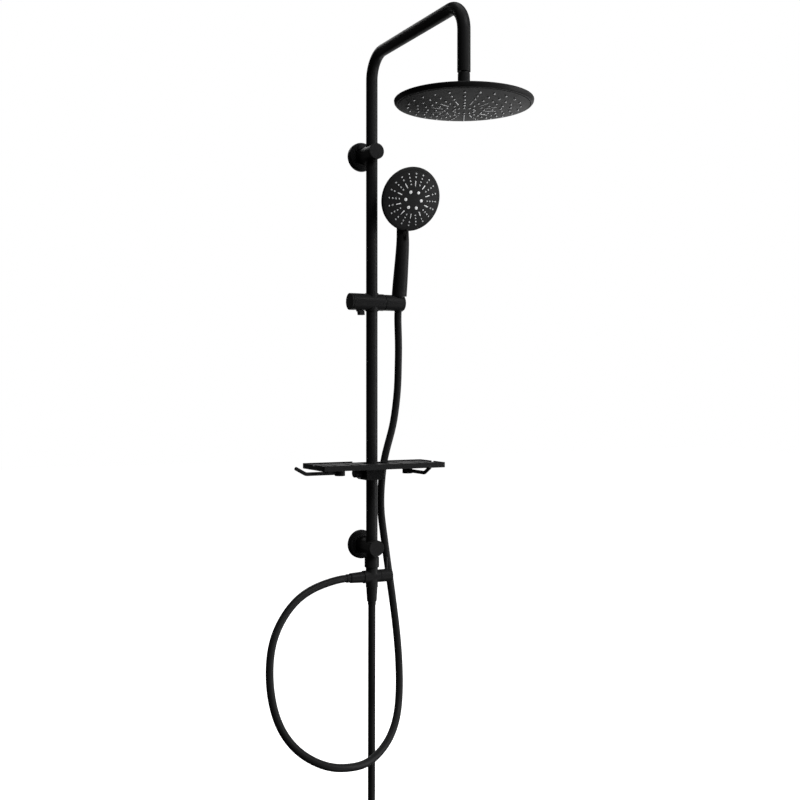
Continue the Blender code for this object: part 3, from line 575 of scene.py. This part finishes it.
def make_bracket(prefix, height):
    """Flange, stem and cap of one wall bracket."""
    centre = (0, 0, height)
    stem_r, cap_start = 16.5, 73.5
    flange = [(28.3, GAP), (30.25, GAP), (30.25, 9), (28, 12.5), (19.5, 16.3), (17, 16.3), (17, 13.8),
              (26.3, 10.5), (28.3, 8.5)]
    turned_node(prefix + "_flange", flange, centre, TO_ROOM, 96, 1.2)
    body = lathe(prefix + "_bracket_body_fine",
                 [(0, 24), (11.4, 24), (11.4, 8.3), (stem_r, 8.3), (stem_r, cap_start), (6.4, cap_start),
                  (6.4, 70.7), (0, 70.7)], FINISH["satin_black_metal"], centre, TO_ROOM, 96, 0.4)
    combine(body, "DIFFERENCE", drill(12.45, -20, 20, (0, RISER_Y, height)),
            drill(2.3, -20, -8, (0, -20, height), sides=24))
    stand_for(body, prefix + "_bracket_body")
    turned_node(prefix + "_bracket_cap", [(0, 71), (6, 71), (6, 73.8), (stem_r, 73.8), (stem_r, 80), (0, 80)],
                centre, TO_ROOM, 96, 0.4)


# ---------------------------------------------------------------- rain head

def cap_height(r, sphere_r):
    return r * r / (2 * sphere_r)


def curved_disc(radius, sphere_r, low, thick, rings=10):
    """Outline of a disc of even thickness that curves away from its middle."""
    radii = [radius * k / rings for k in range(rings + 1)]
    bottom = [(r, low + cap_height(r, sphere_r)) for r in radii]
    return bottom + [(r, height + thick) for r, height in reversed(bottom)]


def add_stud(bm, centre, along, across, up, half_length, half_width, height):
    """A soft-edged round or oblong stud. Its base sits just under the surface."""
    count = 20
    layers = [(-0.5, 1.0), (0.45 * height, 1.0), (0.85 * height, 0.8), (height, 0.42)]
    rings = []
    for lift, width in layers:
        ring = []
        for k in range(count):
            angle = math.tau * (k + 0.5) / count
            shift = math.copysign(half_length, math.cos(angle))
            reach = (math.cos(angle) * half_width * width + shift) * along
            sideways = across * math.sin(angle) * half_width * width
            ring.append(bm.verts.new(centre + reach + sideways + up * lift))
        rings.append(ring)
    for lower, upper in zip(rings, rings[1:]):
        bridge(bm, lower, upper)
    bm.faces.new(rings[0][::-1])
    bm.faces.new(rings[-1])


def studs(name, spots, centre, down, outward, sphere_r, material, half_width, height, half_length=0.0):
    """Studs on a curved face at (radius, angle) spots, the angle turning from down about outward."""
    side = outward.cross(down)
    bm = bmesh.new()
    for radius, angle in spots:
        spoke = down * math.cos(angle) + side * math.sin(angle)
        up = (outward + spoke * radius / sphere_r).normalized()
        along = (spoke - up * spoke.dot(up)).normalized()
        place = centre + spoke * radius - outward * cap_height(radius, sphere_r)
        add_stud(bm, place, along, up.cross(along), up, half_length, half_width, height)
    return new_object(name, bm, material)


def make_rain_head():
    ball_r, neck_top = 8.4, 25.9
    angles = [math.radians(a) for a in range(-72, 54, 6)]
    dome = [(ball_r * math.cos(angle), ball_r * math.sin(angle)) for angle in angles]
    turned_node("ball_stem", [(2.6, -8.0), *dome, (4.6, 7.6), (4.6, 13.2), (6.0, 14.5), (6.0, neck_top),
                              (2.6, neck_top)], BALL, fillet=0.2)
    collar = [(9.3, -16.6), (11, -16.6), (11, 9), (10.2, 10.8), (8.2, 11.5), (7.5, 11.5), (6.7, 6.2),
              (7.3, 5.2), (8.8, 1.5), (8.9, -8.6), (9.3, -8.6)]
    turned_node("ball_collar", collar, BALL, fillet=0.5)
    rim = Vector((BALL.x, BALL.y, RIM_Z))
    shell = [(6, 26.2), (8.9, 26.2), (8.9, 22), (14, 22), (16, 17), (24, 13), (60, 9), (110, 4), (124, 1.8),
             (HEAD_R, 0), (124.2, -4), (121.5, -7.2), (118, -8.2), (118, -1.2), (110, 1.4), (60, 6.4),
             (24, 10.3), (6, 11.5)]
    turned_node("rain_head_shell", shell, rim, Z_AXIS, 160, 1.2)
    turned_node("rain_head_face", curved_disc(117.6, HEAD_SPHERE_R, -17.5, 2.5), rim, Z_AXIS, 160, 0.3)

    face = rim - Z_AXIS * 17.5
    spots, bars = [], []
    lines = 24
    for line in range(lines):
        angle = math.tau * line / lines
        radii = (19, 35, 50, 65, 83, 101) if line % 2 == 0 else (70, 85, 101)
        spots += [(radius, angle) for radius in radii]
        if line % 2:
            bars.append((49, angle))
    facing = (face, Y_AXIS, -Z_AXIS, HEAD_SPHERE_R)
    nozzles = studs("rain_head_nozzles", spots, *facing, WHITE_SILICONE, 2.0, 1.7)
    slots = studs("rain_head_jet_bars", bars, *facing, WHITE_SILICONE, 1.0, 0.6, 9.5)
    for piece in (nozzles, slots):
        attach(piece, "rain_head")


# ---------------------------------------------------------------- slider, cradle and handset

def make_slider():
    metal = FINISH["satin_black_metal"]
    body_r, left, right = 17.5, -47.0, 25.9
    outline = [(0, -19.2), (10.4, -19.2), (10.4, left), (body_r, left), (body_r, right), (9.4, right),
               (9.4, 16), (0, 16)]
    body = lathe("slider_body_fine", outline, metal, SLIDER, X_AXIS, 96, 0.5)
    slot = prism("slot", rectangle(-41, -24.6, -4.5, 4.5, 1.0), -25, -7, metal, Matrix.Translation(SLIDER))
    combine(body, "DIFFERENCE", drill(14.4, -25, 25, SLIDER), drill(6.5, -21, -8, SLIDER, X_AXIS), slot)
    stand_for(body, "slider_body")
    bush = lathe("slider_bush_fine", [(12.45, -18.8), (14.0, -18.8), (14.0, 18.8), (12.45, 18.8)],
                 FINISH["face_black"], SLIDER, fillet=0.4)
    combine(bush, "DIFFERENCE", drill(6.5, -21, -8, SLIDER, X_AXIS))
    stand_for(bush, "slider_bush")
    cap = [(0, left - 4.5), (body_r, left - 4.5), (body_r, left - GAP), (0, left - GAP)]
    turned_node("slider_end_cap", cap, SLIDER, X_AXIS, 96, 0.5)
    tab_place = Matrix.Translation(SLIDER) @ Matrix.Rotation(math.pi / 2, 4, "X")
    tab = prism("slider_lock_tab_fine", [(-30.4, -27.4), (-18.6, -27.4), (-19.4, -18), (-31.6, -18)], -6, 6,
                metal, tab_place)
    neck = prism("neck", [(-34, -20), (-25.4, -20), (-25, -4.4), (-37, -4.4)], -4, 4, metal, tab_place)
    stand_for(combine(soften(tab, 0.9), "UNION", neck), "slider_lock_tab")
    make_spring()

    cradle_r, cradle_left, cradle_right = 16.75, 27.3, 72.2
    outline = [(0, 16.4), (9, 16.4), (9, cradle_left), (cradle_r, cradle_left), (cradle_r, cradle_right),
               (0, cradle_right)]
    holder = lathe("cradle_fine", outline, metal, SLIDER, X_AXIS, 96, 1.0)
    socket_top, socket_low, reach, over = 12.4, 10.4, 16.5, 8
    slope = (socket_top - socket_low) / (2 * reach)
    socket = lathe("socket", [(0, -reach - over), (socket_low - slope * over, -reach - over),
                              (socket_top + slope * over, reach + over), (0, reach + over)],
                   metal, HANDLE_FOOT, HANDLE_U, 72, 0, 0.5)
    lean = Z_AXIS.rotation_difference(HANDLE_U).to_matrix().to_4x4()
    mouth_place = Matrix.Translation(HANDLE_FOOT) @ lean
    mouth = prism("mouth", rectangle(2, 20, -8.2, 8.2), -30, 30, metal, mouth_place)
    seat = drill(HANDLE_R + 0.8, HANDLE_START - GAP, 30, HANDLE_FOOT, HANDLE_U)
    combine(holder, "DIFFERENCE", socket, mouth, seat)
    stand_for(holder, "cradle")
    friction_ring = [(9.4, 26.2), (16.0, 26.2), (16.0, 27.0), (9.4, 27.0)]
    turned_node("cradle_friction_ring", friction_ring, SLIDER, X_AXIS)
    nut = [(6, -16.5), (10, -16.5), (12, 15.9), (11.4, 16.5), (9.4, 16.5), (9.4, 1.5), (6, 1.5)]
    turned_node("hose_top_nut", nut, HANDLE_FOOT, HANDLE_U)


def make_spring():
    """The coil that the lock tab squeezes against the end cap."""
    coil_r, wire_r, turns, steps = 6.5, 0.6, 4.5, 24
    left, right = -46.0, -38.6
    count = round(turns * steps)
    path = []
    for k in range(count + 1):
        angle = math.tau * k / steps
        along = left + (right - left) * k / count
        path.append(SLIDER + Vector((along, coil_r * math.cos(angle), coil_r * math.sin(angle))))
    coil = sweep("slider_spring_coil", path, [wire_r] * len(path), FINISH["steel"], sides=12)
    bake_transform(coil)
    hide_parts("slider_spring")


def make_handset():
    """One smooth shell for the handle and head, the face with its nozzles, and the selector ring."""
    plastic = FINISH["satin_black_plastic"]
    sections = [(5, 0, HANDLE_R), (HANDLE_START, 0, HANDLE_R), (45, 0, 15.3), (80, 0, 14.4),
                (115, -0.6, 13.5), (135, -2.5, 12.9), (150, -5.5, 12.4), (165, -7.5, 12.0),
                (180, -6.5, 11.4), (195, 0.5, 9), (206, 6, 5)]
    path = smooth_route([HANDLE_FOOT + HANDLE_U * u + HANDLE_V * v for u, v, radius in sections],
                        HANDLE_U, HANDLE_U + HANDLE_V * 0.5, 4.0)
    climbs = [(point - HANDLE_FOOT).dot(HANDLE_U) for point in path]
    radii = list(np.interp(climbs, [u for u, v, radius in sections], [radius for u, v, radius in sections]))
    shell = sweep("handset_shell_fine", path, radii, plastic, sides=64)
    rim_back = 14.0
    outline = [(0, rim_back), (66.3, rim_back), (65.4, 17), (60, 21.5), (45, 26.5), (25, 30), (0, 31.5)]
    dome = lathe("dome", outline, plastic, FACE_CENTRE, FACE_BACK, 128, 0.8)
    combine(shell, "UNION", dome)
    remesh = shell.modifiers.new("remesh", "REMESH")
    remesh.mode = "VOXEL"
    remesh.voxel_size = 1.1 * MM
    bake(shell)
    smooth = shell.modifiers.new("smooth", "SMOOTH")
    smooth.factor = 0.5
    smooth.iterations = 14
    bake(shell)
    swell = shell.modifiers.new("swell", "DISPLACE")
    swell.strength = 0.35 * MM
    swell.mid_level = 0.0
    bake(shell)
    lean = Z_AXIS.rotation_difference(HANDLE_U).to_matrix().to_4x4()
    below = prism("below", rectangle(-30, 30, -30, 30), -20, HANDLE_START, plastic,
                  Matrix.Translation(HANDLE_FOOT) @ lean)
    combine(shell, "DIFFERENCE", below, drill(12.5, 10, 17, HANDLE_FOOT, HANDLE_U))
    shell.data.shade_smooth()
    shell.data.set_sharp_from_angle(angle=math.radians(50))
    if not shell.data.materials:
        shell.data.materials.append(plastic)
    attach(shell, "handset")
    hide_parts("handset_shell")

    turned_node("handset_face", curved_disc(60.2, FACE_SPHERE_R, 0, 2.5), FACE_CENTRE, FACE_BACK, 128, 0)
    outline = [(60.4, 7.75), (63, 8.5), (65.4, 9.6), (66.6, 11.4), (66.4, 13.7), (60.4, 13.7)]
    ring = lathe("handset_selector_fine", outline, plastic, FACE_CENTRE, FACE_BACK, 128, 0.5)
    outline = [(61.5, 8.5), (66, 4.2), (83.5, 3.6), (85, 5.4), (83.5, 7.2), (68, 7.4), (65, 12), (61.5, 12)]
    turn = Matrix((FACE_DOWN, FACE_BACK, FACE_DOWN.cross(FACE_BACK))).transposed().to_4x4()
    tab = prism("tab", outline, -2.5, 2.5, plastic, Matrix.Translation(FACE_CENTRE) @ turn)
    combine(ring, "UNION", soften(tab, 0.7))
    stand_for(ring, "handset_selector")

    spots, bars = [], []
    lines = 20
    for line in range(lines):
        angle = math.tau * line / lines + math.pi / 2
        radii = (53.5, 46.5, 39.5, 32.5) if line % 2 == 0 else (53.5, 46.5)
        spots += [(radius, angle) for radius in radii]
        if line % 2:
            bars.append((33.8, angle))
    jets = [(18.1, math.tau * k / 6 + math.pi / 2) for k in range(6)]
    facing = (FACE_CENTRE, FACE_DOWN, FACE_FRONT, FACE_SPHERE_R)
    grey = FINISH["silicone"]
    made = [
        studs("handset_nozzles", spots, *facing, grey, 1.75, 1.1),
        studs("handset_jet_bars", bars, *facing, WHITE_SILICONE, 1.0, 0.6, 4.4),
        studs("handset_jets", jets, *facing, WHITE_SILICONE, 3.4, 0.8),
        studs("handset_jet_holes", jets, *facing, grey, 0.8, 1.0),
    ]
    for piece in made:
        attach(piece, "handset")


# ---------------------------------------------------------------- shelf and hooks

def make_shelf():
    plastic, metal = FINISH["satin_black_plastic"], FINISH["satin_black_metal"]
    left, right, front, back = SHELF_LOW.x, SHELF_HIGH.x, SHELF_LOW.y, SHELF_HIGH.y
    lip, floor, wall = 2.2, 2.5, 2.5
    floor_top = SHELF_TOP - lip
    floor_low = floor_top - floor
    tray = prism("shelf_tray_fine", rectangle(left, right, front, back, 3.0), SHELF_LOW.z, SHELF_TOP, plastic)
    inside = rectangle(left + wall, right - wall, front + wall, back - wall, 1.5)
    hole = rectangle(-28, 28, RISER_Y - 28, RISER_Y + 16, 4)
    back_gap = rectangle(-34.4, 34.4, back - wall - 1, back + 5)
    notch = rectangle(left - 5, right + 5, RISER_Y - 38, RISER_Y - 26)
    tools = [prism("pocket", inside, floor_top, SHELF_TOP + 5, plastic),
             prism("under", inside, SHELF_LOW.z - 5, floor_low, plastic),
             prism("hole", hole, floor_low - 5, floor_top + 5, plastic),
             prism("back_gap", back_gap, floor_top, SHELF_TOP + 5, plastic),
             prism("notch", notch, floor_top, SHELF_TOP + 5, plastic)]
    slot_half = 3.0
    for x in (-122, -104, -68, -50, 44, 86, 104):
        slot = rectangle(x - slot_half, x + slot_half, RISER_Y - 62, RISER_Y - 8, slot_half - 0.1, 6)
        tools.append(prism("drain", slot, floor_low - 3, floor_top + 3, plastic))
    combine(tray, "DIFFERENCE", *tools)
    stand_for(soften(tray, 0.5, 2, 50), "shelf_tray")

    clamp_low, flange_top = box_mm("shelf_clamp")[0].z, box_mm("shelf_clamp")[1].z
    clamp_z = joint_mm("shelf_clamp_turn").z
    block = rectangle(-24.5, 17.5, RISER_Y - 25, RISER_Y + 17, 1.5)
    clamp = prism("shelf_clamp_fine", block, clamp_low, flange_top - 1, metal)
    flange = rectangle(-38, 38, RISER_Y - 38, RISER_Y + 20, 3)
    plate = prism("plate", flange, flange_top - 2.8, flange_top, metal)
    combine(clamp, "UNION", plate)
    combine(clamp, "DIFFERENCE", drill(12.45, clamp_low - 5, flange_top + 5, (0, RISER_Y, 0)),
            drill(4.4, -30, -8, (0, RISER_Y, clamp_z), X_AXIS, 32))
    stand_for(soften(clamp, 0.6, 2, 50), "shelf_clamp")
    knob_outline = [(0, -42), (8.4, -42), (9.4, -41), (9.4, -33.6), (11, -33), (11, -26.1), (10, -25.1),
                    (4, -25.1), (4, -12.7), (0, -12.7)]
    turned_node("shelf_clamp_knob", knob_outline, (0, RISER_Y, clamp_z), X_AXIS, 72, 0.3)
    for node, direction in (("left_hook", -X_AXIS), ("right_hook", -Y_AXIS)):
        make_hook(node, direction)


def make_hook(node, direction):
    """A round post with a rod that turns up at its end."""
    metal = FINISH["satin_black_metal"]
    foot = joint_mm(node + "_swivel")
    low, high = box_mm(node)
    straight, upturn, rise, bend_r = 74.4, 27.0, math.radians(29), 14.0
    lift = direction * math.cos(rise) + Z_AXIS * math.sin(rise)
    reach = bend_r * math.tan(rise / 2)
    elbow = foot + direction * straight
    before, after = elbow - direction * reach, elbow + lift * reach
    path = [foot.copy(), before]
    steps = 8
    for k in range(1, steps):
        t = k / steps
        path.append(before * (1 - t) ** 2 + elbow * 2 * t * (1 - t) + after * t * t)
    tip_r = 3.75
    path += [after, elbow + lift * (upturn - tip_r * 0.6), elbow + lift * (upturn - 1), elbow + lift * upturn]
    radii = [tip_r] * (len(path) - 2) + [tip_r * 0.86, tip_r * 0.45]
    arm = sweep("arm", path, radii, metal, direction.cross(Z_AXIS), sides=40)
    post_r = 10.5
    outline = [(0, low.z), (post_r, low.z), (post_r, high.z), (0, high.z)]
    post = lathe(node + "_fine", outline, metal, (foot.x, foot.y, 0), fillet=0.8)
    combine(post, "UNION", arm)
    stand_for(post, node)


# ---------------------------------------------------------------- diverter

def make_diverter():
    metal = FINISH["satin_black_metal"]
    spot = (0, RISER_Y, 0)
    cross = DIVERTER
    outline = [(0, -35.6), (13.6, -35.6), (13.6, -41.9), (12.6, -41.9), (12.6, -83.2), (9.4, -83.2),
               (9.4, -94), (0, -94)]
    body = lathe("diverter_body_fine", outline, metal, spot, fillet=0.4)
    outline = [(0, -33), (9.4, -33), (9.4, -20), (13.1, -20), (13.1, 16.7), (0, 16.7)]
    arm = lathe("arm", outline, metal, cross, X_AXIS, fillet=0.3)
    combine(body, "UNION", arm)
    combine(body, "DIFFERENCE", drill(5.0, -99, -30, spot, sides=32), drill(4.8, -38, 0.5, cross, X_AXIS, 32),
            drill(6.0, 0, 20, cross, X_AXIS, 32))
    stand_for(body, "diverter_body")
    outline = [(12.45, -20.3), (14.4, -20.3), (15.2, -21.2), (15.2, -40.9), (14.4, -41.6), (14, -41.6),
               (14, -30.4), (12.45, -30.4)]
    turned_node("riser_union_nut", outline, spot)
    turned_node("outlet_nut", [(9.8, -20.4), (11.6, -20.4), (10.2, -49.4), (9.6, -50), (7.4, -50), (7.4, -42),
                               (9.8, -42)], cross, X_AXIS)
    ferrule_end = OUTLET_HOSE_X + GAP
    turned_node("outlet_ferrule", [(4.5, -36), (9.4, -36), (9.4, -41.6), (7, -41.6), (7, -50.4), (8.8, -50.4),
                                   (8.8, ferrule_end + 0.5), (8.3, ferrule_end), (4.5, ferrule_end)],
                cross, X_AXIS, fillet=0.3)
    outline = [(9.8, -83.5), (11.8, -83.5), (10.2, -112.5), (8.6, -113), (8.6, -120), (5, -120), (5, -100),
               (9.8, -100)]
    turned_node("inlet_nut", outline, spot)
    knob_left, knob_right, knob_r = 17.0, 43.8, 13.2
    lever_x, lever_r, lever_foot = 33.6, 3.2, 9.4
    outline = [(0, 27.4), (5.9, 27.4), (5.9, knob_left), (knob_r, knob_left), (knob_r, knob_right),
               (0, knob_right)]
    barrel = lathe("diverter_knob_fine", outline, metal, cross, X_AXIS, 96, 0.6)
    lever_spot = cross + X_AXIS * lever_x
    combine(barrel, "DIFFERENCE", drill(lever_r + 0.4, lever_foot - 0.3, 20, lever_spot, sides=32))
    stand_for(barrel, "diverter_knob")
    lever_top = knob_r + 25
    outline = [(0, lever_foot), (lever_r, lever_foot), (lever_r, lever_top), (0, lever_top)]
    turned_node("diverter_lever", outline, lever_spot, Z_AXIS, 40, 1.2)


# ---------------------------------------------------------------- assembly

def finish_carried_nodes():
    """Every CAD node gets its slot's material."""
    for name, node in frame["nodes"].items():
        for material_slot in node.material_slots:
            material_slot.material = FINISH[NODE_SLOT[name]]


make_supply_hose()
make_shower_hose()
finish_carried_nodes()
make_tubes()
make_bracket("lower", 0.0)
make_bracket("upper", (box_mm("upper_flange")[0].z + box_mm("upper_flange")[1].z) / 2)
make_rain_head()
make_slider()
make_handset()
make_shelf()
make_diverter()
